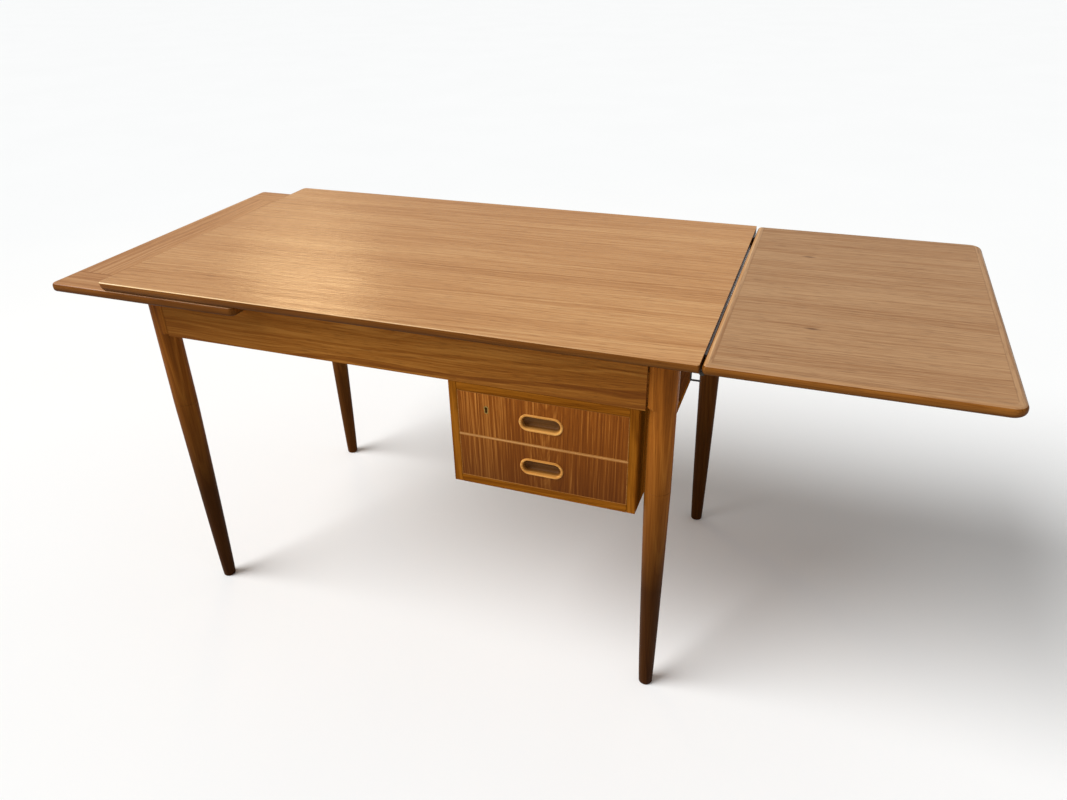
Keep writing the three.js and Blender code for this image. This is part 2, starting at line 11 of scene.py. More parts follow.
import bmesh
import bpy
import numpy as np
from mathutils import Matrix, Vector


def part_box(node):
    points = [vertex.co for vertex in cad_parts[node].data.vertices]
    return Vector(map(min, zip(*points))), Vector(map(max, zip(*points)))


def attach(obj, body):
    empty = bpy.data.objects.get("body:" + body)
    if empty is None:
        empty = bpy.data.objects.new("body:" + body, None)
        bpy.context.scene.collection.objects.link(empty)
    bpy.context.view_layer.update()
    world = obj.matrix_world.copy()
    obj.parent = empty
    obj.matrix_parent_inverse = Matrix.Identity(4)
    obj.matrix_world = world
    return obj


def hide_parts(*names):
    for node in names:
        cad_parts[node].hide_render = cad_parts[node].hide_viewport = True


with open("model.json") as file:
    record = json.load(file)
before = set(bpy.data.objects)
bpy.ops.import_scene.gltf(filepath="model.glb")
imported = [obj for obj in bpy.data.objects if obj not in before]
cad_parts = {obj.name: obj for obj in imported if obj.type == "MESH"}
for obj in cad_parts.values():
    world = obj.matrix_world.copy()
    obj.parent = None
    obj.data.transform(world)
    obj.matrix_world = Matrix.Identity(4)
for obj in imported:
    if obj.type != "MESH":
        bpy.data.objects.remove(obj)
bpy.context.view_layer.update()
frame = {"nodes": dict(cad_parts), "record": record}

MM = 0.001
body_of = {node: body for body, nodes in frame["record"]["behaviour"]["bodies"].items() for node in nodes}

# %% [markdown]
# ## Camera
# The camera stands in front of the desk, a little to the right of its middle and above the top,
# and looks down at it. A lens of 28 mm is rather wide, which is why the near leg looks so long.

# %% Camera
camera_data = bpy.data.cameras.new("desk_camera")
camera_data.lens = 28.062
camera = bpy.data.objects.new("desk_camera", camera_data)
camera.location = (0.5574, -1.4211, 1.2754)
camera.rotation_euler = [math.radians(angle) for angle in (60.740, 1.150, 19.977)]
bpy.context.scene.collection.objects.link(camera)
bpy.context.scene.camera = camera
print("lens", round(camera_data.lens, 2), "mm on a", camera_data.sensor_width, "mm sensor")

# %% [markdown]
# ## Colours and nodes
# Every finish is a small tree of nodes that ends in one Principled shader. Three helpers keep the
# recipes short: one turns a hex colour into the linear light that the shader works in, one adds
# any node with its settings and links, and one starts a new material.

# %% Colours and nodes
def linear(code):
    """An sRGB hex colour as linear RGBA: c / 12.92 below 0.04045, else ((c + 0.055) / 1.055) ** 2.4."""
    c = np.array([int(code[i:i + 2], 16) for i in (1, 3, 5)]) / 255
    return (*np.where(c <= 0.04045, c / 12.92, ((c + 0.055) / 1.055) ** 2.4), 1.0)


def add(tree, kind, settings=None, **inputs):
    """Adds one node. Settings are its properties; inputs are values, or sockets to link from."""
    node = tree.nodes.new("ShaderNode" + kind)
    for key, value in (settings or {}).items():
        setattr(node, key, value)
    for key, value in inputs.items():
        socket = node.inputs[int(key[1:]) if key[1:].isdigit() else key.replace("_", " ")]
        if isinstance(value, bpy.types.NodeSocket):
            tree.links.new(value, socket)
        else:
            socket.default_value = value
    return node


def new_material(name):
    """An empty material with its node tree, and the shader that its surface shows."""
    material = bpy.data.materials.new(name)
    material.use_nodes = True
    tree = material.node_tree
    tree.nodes.clear()
    shader = add(tree, "BsdfPrincipled")
    add(tree, "OutputMaterial", Surface=shader.outputs["BSDF"])
    return material, tree, shader


# %% [markdown]
# ## Floor
# The desk stands on a smooth, matt, near-white studio floor. A flat quad is enough for it. It
# reaches so far back that its end stays out of sight when the camera looks down at the desk.

# %% Floor
FLOOR_REACH = 40.0       # metres to each side of the desk
PATCH_SIZE = 2 / 3       # metres across one slow patch of tone
floor_mesh = bpy.data.meshes.new("floor")
corners = FLOOR_REACH * np.array([[-1, -1, 0], [1, -1, 0], [1, 1, 0], [-1, 1, 0]], float)
floor_mesh.from_pydata(corners, [], [(0, 1, 2, 3)])
floor = bpy.data.objects.new("floor", floor_mesh)
bpy.context.scene.collection.objects.link(floor)
# Matt floor paint: near white, with patches so faint that they only stop it looking flat.
floor_paint, tree, shader = new_material("floor_paint")
place = add(tree, "TexCoord").outputs["Object"]
patches = add(tree, "TexNoise", Vector=place, Scale=1 / PATCH_SIZE, Detail=2.0).outputs[0]
tone = add(tree, "Mix", {"data_type": "RGBA"}, i0=patches, i6=linear("#f5f6f6"), i7=linear("#f8f9f9"))
tree.links.new(tone.outputs[2], shader.inputs["Base Color"])
shader.inputs["Roughness"].default_value = 0.8
shader.inputs["Specular IOR Level"].default_value = 0.1
floor_mesh.materials.append(floor_paint)
print("floor", 2 * FLOOR_REACH, "m across")

# %% [markdown]
# ## Light
# One broad lamp high at the front left throws the soft shadows to the right: a sun lamp with a
# wide angle gives them their soft edge. A small warm window at the back left shows as a sheen on
# the top. The world adds a low, even light, so that the shaded sides keep their colour.

# %% Light
bpy.context.scene.view_settings.view_transform = "Standard"
world = bpy.data.worlds.new("studio")
bpy.context.scene.world = world
world.use_nodes = True
world.node_tree.nodes["Background"].inputs["Color"].default_value = linear("#ffffff")
world.node_tree.nodes["Background"].inputs["Strength"].default_value = 0.35


def lamp(kind, name, at, to, power, **settings):
    """A lamp at one point that faces another: its -Z axis is turned along the line between them."""
    data = bpy.data.lights.new(name, kind)
    data.energy = power
    for key, value in settings.items():
        setattr(data, key, value)
    made = bpy.data.objects.new(name, data)
    made.location = at
    made.rotation_euler = (Vector(to) - Vector(at)).to_track_quat("-Z", "Y").to_euler()
    bpy.context.scene.collection.objects.link(made)
    return made


lamp("SUN", "broad_lamp", (-2.5, -1.7, 3.1), (0, 0, 0), 3.1, angle=math.radians(40))
lamp("AREA", "window", (-1.8, 1.75, 1.85), (-0.41, -0.28, 0.73), 3.6, color=linear("#ffdba4")[:3],
     shape="RECTANGLE", size=0.5, size_y=0.3)

# %% [markdown]
# ## Grain
# Teak is a straight-grained brown wood with coarse open pores. A cut board shows three things:
# growth rings, which are shells round the tree's middle and so turn into lines and arches on a
# flat face, fine fibres along the grain, and short dark pores. A painted image could show them,
# but solid noise is used here, because it runs on round a corner as real grain does. It is worked
# out in millimetres with X along the grain, so one recipe serves a table top, a leg and a drawer.

# %% Grain
GRAIN_TURN = {"X": (0, 0, 0), "Y": (0, 0, math.pi / 2), "Z": (0, -math.pi / 2, 0)}
WANDER = (380, 60)       # millimetres along and across one slow wander of the rings


def streaks(tree, space, length, width, detail, seed):
    """Noise drawn out along the grain: noise(x / length, y / width, z / width), in millimetres."""
    squeezed = add(tree, "VectorMath", {"operation": "MULTIPLY_ADD"}, i0=space,
                   i1=(1 / length, 1 / width, 1 / width), i2=(seed, 2.7 * seed, 5.1 * seed)).outputs[0]
    return add(tree, "TexNoise", Vector=squeezed, Scale=1.0, Detail=detail, Roughness=0.6).outputs[0]


def growth_rings(tree, space, pith, lean, ring, bend):
    """Rings round the tree's middle: 1-D noise of (length((y, z) - pith - lean x) + wander) / ring."""
    along = add(tree, "SeparateXYZ", Vector=space).outputs[0]
    leaning = add(tree, "VectorMath", {"operation": "SCALE"}, i0=(0, -lean[0], -lean[1]),
                  Scale=along).outputs[0]
    shifted = add(tree, "VectorMath", {"operation": "ADD"}, i0=space, i1=leaning).outputs[0]
    across = add(tree, "VectorMath", {"operation": "MULTIPLY_ADD"}, i0=shifted, i1=(0, 1, 1),
                 i2=(0, -pith[0], -pith[1])).outputs[0]
    distance = add(tree, "VectorMath", {"operation": "LENGTH"}, i0=across).outputs["Value"]
    slow = streaks(tree, space, *WANDER, 2.0, 1.3)
    wander = add(tree, "Math", {"operation": "MULTIPLY_ADD"}, i0=slow, i1=4.0 * ring,
                 i2=distance).outputs[0]
    bent = add(tree, "Math", {"operation": "MULTIPLY_ADD"}, i0=bend, i1=2.5 * ring, i2=wander).outputs[0]
    count = add(tree, "Math", {"operation": "DIVIDE"}, i0=bent, i1=ring).outputs[0]
    return add(tree, "TexNoise", {"noise_dimensions": "1D"}, W=count, Scale=1.0, Detail=3.0,
               Roughness=0.65).outputs[0]


def nearness(tree, place, hearts, reach):
    """1 at each knot's heart, falling to 0 at its reach: 1 - length((x, y) - heart) / reach."""
    nearest = 0.0
    for heart in hearts:
        offset = add(tree, "VectorMath", {"operation": "SUBTRACT"}, i0=place, i1=(*heart, 0)).outputs[0]
        squeezed = add(tree, "VectorMath", {"operation": "DIVIDE"}, i0=offset, i1=(*reach, 1e6)).outputs[0]
        far = add(tree, "VectorMath", {"operation": "LENGTH"}, i0=squeezed).outputs["Value"]
        near = add(tree, "Math", {"operation": "SUBTRACT", "use_clamp": True}, i0=1.0, i1=far).outputs[0]
        nearest = add(tree, "Math", {"operation": "MAXIMUM"}, i0=near, i1=nearest).outputs[0]
    return nearest


# %% [markdown]
# ## What darkens the wood
# Veneer is laid in leaves that differ a little in tone, a glue line shows between two pieces, and
# a piece can be painted darker along one axis, which mostly stands for painted shade. Each is a number
# from 0 to 1 worked out from the place on the desk, so each can be a small function that any finish may
# call.

# %% What darkens the wood
SEAM_WIDTH = 1.6 * MM    # a real glue line is 0.2 mm; it is drawn this wide so that it shows


def veneer_leaves(tree, space, strip):
    """A tone for each leaf of veneer: white noise of floor(z / strip + 0.4)."""
    sideways = add(tree, "SeparateXYZ", Vector=space).outputs[2]
    count = add(tree, "Math", {"operation": "MULTIPLY_ADD"}, i0=sideways, i1=1 / strip, i2=0.4).outputs[0]
    leaf = add(tree, "Math", {"operation": "FLOOR"}, i0=count).outputs[0]
    return add(tree, "TexWhiteNoise", {"noise_dimensions": "1D"}, W=leaf).outputs["Value"]


def glue_line(tree, place, low, high, depth):
    """A dark border in a box: max(|x - middle| - half length, |y - middle| - half width), as a line."""
    offset = add(tree, "VectorMath", {"operation": "SUBTRACT"}, i0=place,
                 i1=tuple(np.add(low, high) / 2)).outputs[0]
    inward = add(tree, "VectorMath", {"operation": "ABSOLUTE"}, i0=offset).outputs[0]
    beyond = add(tree, "VectorMath", {"operation": "SUBTRACT"}, i0=inward,
                 i1=tuple(np.subtract(high, low) / 2)).outputs[0]
    side = add(tree, "SeparateXYZ", Vector=beyond)
    nearest = add(tree, "Math", {"operation": "MAXIMUM"}, i0=side.outputs[0],
                  i1=side.outputs[1]).outputs[0]
    return add(tree, "MapRange", Value=nearest, From_Min=-SEAM_WIDTH, From_Max=-0.2 * SEAM_WIDTH,
               To_Max=depth).outputs[0]


def along_axis(tree, place, axis, start, end, least, most):
    """How dark a place is along one axis: a straight line from least at the start to most at the end."""
    way = add(tree, "SeparateXYZ", Vector=place).outputs[axis]
    return add(tree, "MapRange", Value=way, From_Min=start, From_Max=end, To_Min=least,
               To_Max=most).outputs[0]


# %% [markdown]
# ## Teak finishes
# Oil, stain and wear change teak's tone and sheen but not its grain. So there is one recipe, with
# a ramp of four tones, and each piece below says its own tones, sheen and place in the tree.

# %% Teak finishes
FIBRE = (130, 2.4)       # millimetres; real fibres are 0.1 mm wide, drawn in bundles so that they show
BAND = (800, 50)         # millimetres; slow changes of tone between years of growth
PORE = (28, 1.6)         # millimetres; real pores are 0.3 mm wide, drawn wider so that they show
KNOT_BEND = (34 * MM, 13 * MM)      # how far a knot bends the rings, along and across the grain
KNOT_HEART = (16 * MM, 5 * MM)      # how far its dark heart reaches


def teak(name, tones, grain="X", centre=(0, 0, 0), pith=(60, -90), lean=(0.0, 0.0), ring=6.0,
         figure=0.5, fibre=0.35, broad=0.3, pores=0.3, roughness=0.42, specular=0.1, seam=None,
         fade=None, strip=None, knots=(), stops=(0.2, 0.5, 0.8)):
    """Teak as figure + fibres + broad bands through a ramp of tones: dark, middle, light, pore.
    Pith is where the tree's middle lay across the grain and ring the width of a ring, in millimetres,
    and lean is how far the middle drifts per millimetre. A seam darkens the border of a box, fade
    darkens along one axis of the desk, strip is the width of a leaf of veneer, and the rings bend
    round the knots."""
    material, tree, shader = new_material(name)
    place = add(tree, "TexCoord").outputs["Object"]
    space = add(tree, "Mapping", {"vector_type": "TEXTURE"}, Vector=place, Location=centre,
                Rotation=GRAIN_TURN[grain], Scale=(MM, MM, MM)).outputs[0]

    # the tone: rings, fibres and broad bands, each in its share
    bend = nearness(tree, place, knots, KNOT_BEND)
    rings = growth_rings(tree, space, pith, lean, ring, bend)
    fibres = add(tree, "MapRange", Value=streaks(tree, space, *FIBRE, 3.0, 4.1), From_Min=0.32,
                 From_Max=0.68).outputs[0]
    if strip:
        bands = veneer_leaves(tree, space, strip)
    else:
        bands = add(tree, "MapRange", Value=streaks(tree, space, *BAND, 1.0, 7.7), From_Min=0.3,
                    From_Max=0.7).outputs[0]
    total = figure + fibre + broad
    shells = add(tree, "MapRange", Value=rings, From_Min=0.3, From_Max=0.7,
                 To_Max=figure / total).outputs[0]
    lines = add(tree, "Math", {"operation": "MULTIPLY_ADD"}, i0=fibres, i1=fibre / total,
                i2=shells).outputs[0]
    tone = add(tree, "Math", {"operation": "MULTIPLY_ADD"}, i0=bands, i1=broad / total, i2=lines).outputs[0]
    ramp = add(tree, "ValToRGB", Fac=tone)
    marks = ramp.color_ramp.elements
    marks.new(stops[1])
    for mark, stop, code in zip(marks, stops, tones):
        mark.position, mark.color = stop, linear(code)

    # the dark things: pores, knots, seams and shaded ends, of which the darkest shows
    open_pores = add(tree, "MapRange", Value=streaks(tree, space, *PORE, 1.0, 9.9), From_Min=0.56,
                     From_Max=0.68, To_Max=pores).outputs[0]
    heart = nearness(tree, place, knots, KNOT_HEART)
    dark = add(tree, "Math", {"operation": "MAXIMUM"}, i0=open_pores, i1=heart).outputs[0]
    if seam is not None:
        line = glue_line(tree, place, *seam)
        dark = add(tree, "Math", {"operation": "MAXIMUM"}, i0=dark, i1=line).outputs[0]
    if fade is not None:
        shade = along_axis(tree, place, *fade)
        dark = add(tree, "Math", {"operation": "MAXIMUM"}, i0=dark, i1=shade).outputs[0]
    darkened = add(tree, "Mix", {"data_type": "RGBA"}, i0=dark, i6=ramp.outputs[0], i7=linear(tones[3]))
    tree.links.new(darkened.outputs[2], shader.inputs["Base Color"])

    # the sheen breaks up along the fibres, and the pores stand a little open
    gloss = add(tree, "MapRange", Value=fibres, To_Min=roughness + 0.06, To_Max=roughness - 0.06).outputs[0]
    tree.links.new(gloss, shader.inputs["Roughness"])
    relief = add(tree, "Math", {"operation": "SUBTRACT"}, i0=fibres, i1=open_pores).outputs[0]
    bump = add(tree, "Bump", Height=relief, Strength=0.12, Distance=0.0004).outputs[0]
    tree.links.new(bump, shader.inputs["Normal"])
    shader.inputs["IOR"].default_value = 1.5
    shader.inputs["Specular IOR Level"].default_value = specular
    return material


# %% [markdown]
# ## Sizes from the CAD nodes
# Nothing below repeats a size that the CAD model already has. Each board's corners are read from
# its node's bounding box, and the lippings of a board are found by their names.

# %% Sizes read from the CAD nodes
def span(*nodes):
    """Lowest and highest corner of some nodes together, in metres."""
    boxes = np.array([[list(corner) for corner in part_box(node)] for node in nodes])
    return boxes[:, 0].min(0), boxes[:, 1].max(0)


SIDES = ("front", "right", "back", "left")


def lippings(board):
    """The names of a board's four lippings, in the order of its sides."""
    return [f"{board}_lipping_{side}" for side in SIDES]


top_low, top_high = span("main_top_panel", *lippings("main_top"))
drop_low, drop_high = span("drop_leaf_panel", *lippings("drop_leaf"))
draw_low, draw_high = span("draw_leaf_panel", "draw_leaf_front_rail", "draw_leaf_back_rail",
                           "draw_leaf_end_band")
print("top", (top_high - top_low).round(4), "drop leaf", (drop_high - drop_low).round(4))

# %% [markdown]
# ## Boards
# A board is rings stacked up its edge. Each ring is a rectangle with round corners, drawn in by
# as much as the edge's profile says at that height. The same rings, cut at the corners' middles,
# give the four mitred lippings round a veneered panel.

# %% Rings
CORNER_STEPS = 10
HALF = CORNER_STEPS // 2
ALL_SIDES = (1, 1, 1, 1)     # the left, right, front and back side each follow the whole profile


def outline(low, high, radii, inset, shares=ALL_SIDES):
    """Rings of a round-cornered rectangle, one for each inset, starting at the front left corner.
    Corner: centre + r (cos a, sin a), r = max(radius - inset, 0), the centre inset + r from the edges.
    Each side (left, right, front, back) is drawn in by its share of the inset."""
    inset = np.asarray(inset, float)
    shares = np.broadcast_to(np.asarray(shares, float), (len(inset), 4))
    marks = shares[:, [[0, 2], [1, 2], [1, 3], [0, 3]]]
    drawn = np.maximum(np.asarray(radii, float) - inset[:, None], 0)[..., None]
    edge = np.array([[low[0], low[1]], [high[0], low[1]], [high[0], high[1]], [low[0], high[1]]])
    towards = np.array([[1, 1], [-1, 1], [-1, -1], [1, -1]])
    centre = edge + towards * (marks * inset[:, None, None] + drawn)
    angle = np.pi * np.array([1, 1.5, 0, 0.5])[:, None] + np.linspace(0, np.pi / 2, CORNER_STEPS + 1)
    arc = np.stack([np.cos(angle), np.sin(angle)], -1)
    rings = centre[:, :, None] + drawn[..., None] * arc
    return rings.reshape(len(inset), -1, 2)


def raised(rings, heights):
    """Flat rings lifted to their heights: (x, y) becomes (x, y, z)."""
    z = np.broadcast_to(np.asarray(heights, float)[:, None, None], rings.shape[:2] + (1,))
    return np.concatenate([rings, z], -1)


# %% [markdown]
# ## From points to pieces
# A grid of points becomes a mesh when each point is joined to its neighbours. Faces that meet
# gently are shaded smooth, and an edge sharper than the crease angle stays crisp. Each piece then
# rides on its body and takes the place of the CAD nodes that it stands for.

# %% Faces and pieces
def quads(rows, columns, wrap_rows, wrap_columns):
    """Quads between neighbours of a grid: (i, j), (i, j+1), (i+1, j+1), (i+1, j)."""
    i = np.arange(rows if wrap_rows else rows - 1)[:, None]
    j = np.arange(columns if wrap_columns else columns - 1)[None]
    down, over = (i + 1) % rows, (j + 1) % columns
    return np.stack([i * columns + j, i * columns + over, down * columns + over, down * columns + j],
                    -1).reshape(-1, 4).tolist()


CREASE = math.radians(32)


def add_piece(name, grid, finish, body, nodes, closed="ends", bands=()):
    """Turns a grid of points into a piece. "ends" closes the first and last row with flat faces,
    "tube" closes the rows into loops and caps both ends, "ring" closes the grid both ways and
    "poles" leaves the ends as they are, for rows that have run together.
    A band (finish, first row, last row) has a finish of its own."""
    rows, columns = grid.shape[:2]
    faces = quads(rows, columns, closed in ("tube", "ring"), closed != "tube")
    if closed == "ends":
        faces.append(list(range(columns))[::-1])
        faces.append(list(range((rows - 1) * columns, rows * columns)))
    if closed == "tube":
        faces.append([i * columns for i in range(rows)])
        faces.append([i * columns + columns - 1 for i in range(rows)][::-1])
    mesh = bpy.data.meshes.new(name)
    mesh.from_pydata(grid.reshape(-1, 3), [], faces)
    index = np.zeros(len(faces), np.int32)
    around = columns - 1 if closed == "tube" else columns
    for number, (_, first, last) in enumerate(bands, 1):
        index[first * around:last * around] = number
    mesh.polygons.foreach_set("material_index", index)
    shape = bmesh.new()
    shape.from_mesh(mesh)
    bmesh.ops.remove_doubles(shape, verts=shape.verts, dist=1e-6)
    bmesh.ops.dissolve_degenerate(shape, edges=shape.edges, dist=1e-7)
    shape.to_mesh(mesh)
    shape.free()
    return finish_piece(name, mesh, [finish, *(band[0] for band in bands)], body, nodes)


def finish_piece(name, mesh, finishes, body, nodes):
    """Smooths the mesh between its creases, gives it its finish and puts it on its body."""
    mesh.polygons.foreach_set("use_smooth", np.ones(len(mesh.polygons), bool))
    mesh.set_sharp_from_angle(angle=CREASE)
    if len(finishes) == 1:
        mesh.materials.clear()
    for finish in finishes:
        mesh.materials.append(finish)
    piece = bpy.data.objects.new(name, mesh)
    bpy.context.scene.collection.objects.link(piece)
    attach(piece, body)
    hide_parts(*nodes)
    return piece


# %% [markdown]
# ## Edge profiles
# A router gives a board's edge its shape. Here the shape is a list of pairs, how far in and how
# high up, from the underside to the face. A bevel modifier would round both arrises alike, so a
# profile is used: it can undercut the top and still keep the arris nearly sharp.

# %% Edge profiles
SUPPORT = 0.4 * MM    # a flat strip beside each round, so that the flat face shades flat
ROUND_STEPS = 6
ROUND_END = 2 * ROUND_STEPS + 2                             # the row where the upper round ends
ROUND_ROWS = (ROUND_END - ROUND_STEPS // 2, ROUND_END)      # the upper half of the upper round
UNDERCUT_STEPS = 14
ARRIS_STEPS = 4
ARRIS_ROWS = (UNDERCUT_STEPS + 1, UNDERCUT_STEPS + 1 + ARRIS_STEPS)      # the small round on top


def round_edge(thickness, lower, upper, steps=ROUND_STEPS):
    """(inset, height) up a board's edge: a quarter circle, a flat and a quarter circle."""
    a = np.linspace(0, np.pi / 2, steps + 1)
    under = np.stack([lower * (1 - np.sin(a)), lower * (1 - np.cos(a))], -1)
    over = np.stack([upper * (1 - np.cos(a)), thickness - upper * (1 - np.sin(a))], -1)
    first = [[lower + SUPPORT, 0]]
    last = [[upper + SUPPORT, thickness]]
    return np.concatenate([first, under, over, last])


def undercut_edge(thickness, depth, arris, steps=UNDERCUT_STEPS):
    """(inset, height): a quarter ellipse that runs in under the board, and a small round on top."""
    t = np.linspace(0, np.pi / 2, steps + 1)
    up = (thickness - arris) * (1 - np.cos(t))
    inward = depth * (1 - np.sin(t))
    a = np.linspace(0, np.pi / 2, ARRIS_STEPS + 1)[1:]
    over = np.stack([arris * (1 - np.cos(a)), thickness - arris * (1 - np.sin(a))], -1)
    ellipse = np.stack([inward, up], -1)
    return np.concatenate([[[depth + SUPPORT, 0]], ellipse, over, [[arris + SUPPORT, thickness]]])


# %% [markdown]
# ## Boards and lippings
# A board is the whole stack of rings, closed by a flat face at either end. A lipping is the part
# of the same stack between two mitres, closed by a seam and a back, so it keeps the board's edge
# exactly. Four of them meet round a thin rectangle of veneer.

# %% Boards and lippings
def board(name, low, high, radii, profile, finish, nodes, shares=ALL_SIDES, bands=()):
    """A board as rings of its outline, one at each (inset, height) of the edge profile."""
    rings = raised(outline(low, high, radii, profile[:, 0], shares), low[2] + profile[:, 1])
    return add_piece(name, rings, finish, body_of[nodes[0]], nodes, bands=bands)


def lipping(side, low, high, radii, profile, width, finish, node, shares=ALL_SIDES, bands=()):
    """One mitred lipping: the loop of edge profile, seam and back, carried from mitre to mitre."""
    thickness = high[2] - low[2]
    loop = np.concatenate([profile, [[width, thickness], [width, 0]]])
    drawn = np.array([shares] * len(profile) + [ALL_SIDES] * 2, float)
    rings = raised(outline(low, high, radii, loop[:, 0], drawn), low[2] + loop[:, 1])
    k = SIDES.index(side)
    start = k * (CORNER_STEPS + 1) + HALF
    strip = np.roll(rings, -start, axis=1)[:, :CORNER_STEPS + 2]
    return add_piece(node + "_solid", strip, finish, body_of[node], [node], closed="tube", bands=bands)


# %% [markdown]
# ## The fixed top
# The top is veneered board with solid lippings. It is the brightest part of the desk, a warm tan
# with long straight grain. Its edge is upright at the top arris and curves away underneath, so
# that the board looks thin. The arris has a small round that catches the window as a thin line,
# and that line is also painted pale as a painted highlight; the edge is painted darker below as painted
# shade.

# %% Fixed top
UNDERCUT = 7 * MM
TOP_ARRIS = 1.5 * MM
UPRIGHT_RIGHT = (1, 0, 1, 1)     # shares of the profile: none at the right, beside the joint
TOP_RADII = tuple(r * MM for r in (9, 4, 4, 9))
EDGE_TONES = ("#60350f", "#774618", "#8f5a24", "#241204")
top_middle = (top_low + top_high) / 2

# Oiled teak veneer: warm tan with fine straight lines, and a satin sheen towards the light.
top_veneer = teak("oiled_teak_veneer", ("#ad743c", "#c68f57", "#d6a46b", "#7c4e27"), "X",
                  top_middle, pith=(-560, -200), lean=(0.03, 0.05), ring=6.0, figure=0.45, fibre=0.45,
                  broad=0.3, pores=0.35, roughness=0.3, specular=0.5)
# Solid teak edges: browner than the veneer, and painted darker below as painted shade.
edge_painted_shade = (2, float(top_high[2]) - 4 * MM, float(top_low[2]), 0.0, 0.7)
edge_woods = {grain: teak(f"teak_edge_painted_shade_{grain.lower()}", EDGE_TONES, grain, top_middle,
                          pith=(300, -120), ring=3.0, specular=0.03, fade=edge_painted_shade) for grain in "XY"}
# A painted highlight along the top's arris: a thin pale line, palest at the left, towards the window.
arris_painted_highlight = teak("teak_arris_painted_highlight", ("#e0ac6c", "#f6d096", "#ffe6b8", "#a87240"), "X",
                  top_middle, pith=(300, -120), ring=3.0, pores=0.2, roughness=0.3, specular=0.4,
                  fade=(0, float(top_low[0]), float(top_high[0]), 0.0, 0.9))


# The arris finishes carry the painted highlights: the pale line on the top's front arris and on the leaf's
# round beside the joint.
def lipped_board(name, low, high, radii, profile, veneer, finishes, rows, shares=ALL_SIDES, arris_finishes=None):
    """A panel in four lippings, as wide as the CAD's front lipping. Rows of the profile below the
    first number show the edge wood; the arris, up to the second, may have a finish of its own."""
    front_low, front_high = span(f"{name}_lipping_front")
    width = front_high[1] - front_low[1]
    for side in SIDES:
        face, edge = finishes["X" if side in ("front", "back") else "Y"]
        bands = [(edge, 0, rows[0])]
        if arris_finishes and side in arris_finishes:
            bands.append((arris_finishes[side], *rows))
        lipping(side, low, high, radii, profile, width, face, f"{name}_lipping_{side}", shares, bands)
    panel_low, panel_high = low + (width, width, 0), high - (width, width, 0)
    panel_radii = [max(radius - width, 0) for radius in radii]
    flat = np.array([[0, 0], [0, high[2] - low[2]]])
    board(f"{name}_veneer", panel_low, panel_high, panel_radii, flat, veneer, [f"{name}_panel"])
    print(name, "lippings", round(width / MM, 1), "mm wide")


top_profile = undercut_edge(top_high[2] - top_low[2], UNDERCUT, TOP_ARRIS)
lipped_board("main_top", top_low, top_high, TOP_RADII, top_profile, top_veneer,
             {"X": (top_veneer, edge_woods["X"]), "Y": (top_veneer, edge_woods["Y"])}, ARRIS_ROWS,
             UPRIGHT_RIGHT, arris_finishes={"front": arris_painted_highlight, "left": edge_woods["Y"]})

# %% [markdown]
# ## The drop leaf
# The leaf is the same build with a rounder edge. It was kept folded down, out of the light, so it
# is a little browner than the top, and its lippings show as fine seams.

# %% Drop leaf
LEAF_TONES = ("#9a6b40", "#b0855b", "#bd9367", "#5f3c1e")
LEAF_KNOTS = ((0.332, 0.26), (0.267, 0.755))      # in parts of the leaf's length and depth
DROP_RADII = tuple(r * MM for r in (8, 22, 22, 8))
DROP_ROUND = 7.5 * MM
LEAF_LIPPING = 13 * MM
drop_middle = (drop_low + drop_high) / 2
knots = [tuple(float(v) for v in (drop_low + part * (drop_high - drop_low))[:2])
         for part in (np.array([*share, 0]) for share in LEAF_KNOTS)]
panel_seam = (drop_low + LEAF_LIPPING, drop_high - LEAF_LIPPING, 0.35)
# Oiled teak veneer kept out of the light: duller and browner than the top, with two small knots.
leaf_veneer = teak("shaded_teak_veneer", LEAF_TONES, "X", drop_middle, pith=(-560, -220),
                   lean=(0.04, 0.05), ring=4.5, figure=0.3, fibre=0.45, broad=0.25, pores=0.35,
                   roughness=0.42, specular=0.4, seam=panel_seam, knots=knots)
# Solid teak lippings: plain, a little glossier than the veneer from being handled.
leaf_woods = {grain: teak(f"handled_teak_lipping_{grain.lower()}", LEAF_TONES, grain,
                          drop_middle, pith=(300, -120), ring=4.0, roughness=0.38, specular=0.4)
              for grain in "XY"}
# A painted highlight on the round beside the joint: a thin pale line where the round catches the light.
round_painted_highlight = teak("teak_round_painted_highlight", ("#b07c4a", "#c8955f", "#d8ab78", "#8a5c34"), "Y",
                  drop_middle, pith=(300, -120), ring=4.0, pores=0.2, roughness=0.35, specular=0.4)
drop_profile = round_edge(drop_high[2] - drop_low[2], DROP_ROUND, DROP_ROUND)
lipped_board("drop_leaf", drop_low, drop_high, DROP_RADII, drop_profile, leaf_veneer,
             {grain: (leaf_woods[grain], edge_woods[grain]) for grain in "XY"}, ROUND_ROWS,
             arris_finishes={"left": round_painted_highlight})

# %% [markdown]
# ## The draw leaf
# This leaf slides out from under the top. Its end band has the grain turned across, as a
# breadboard end has, and its front and back rails run the whole length past it.

# %% Draw leaf
DRAW_RADIUS = 12 * MM
DRAW_ROUND = 6 * MM
DRAW_TONES = ("#9c6434", "#b98350", "#ca9866", "#724626")
rail_low, rail_high = span("draw_leaf_front_rail")
draw_middle = (draw_low + draw_high) / 2
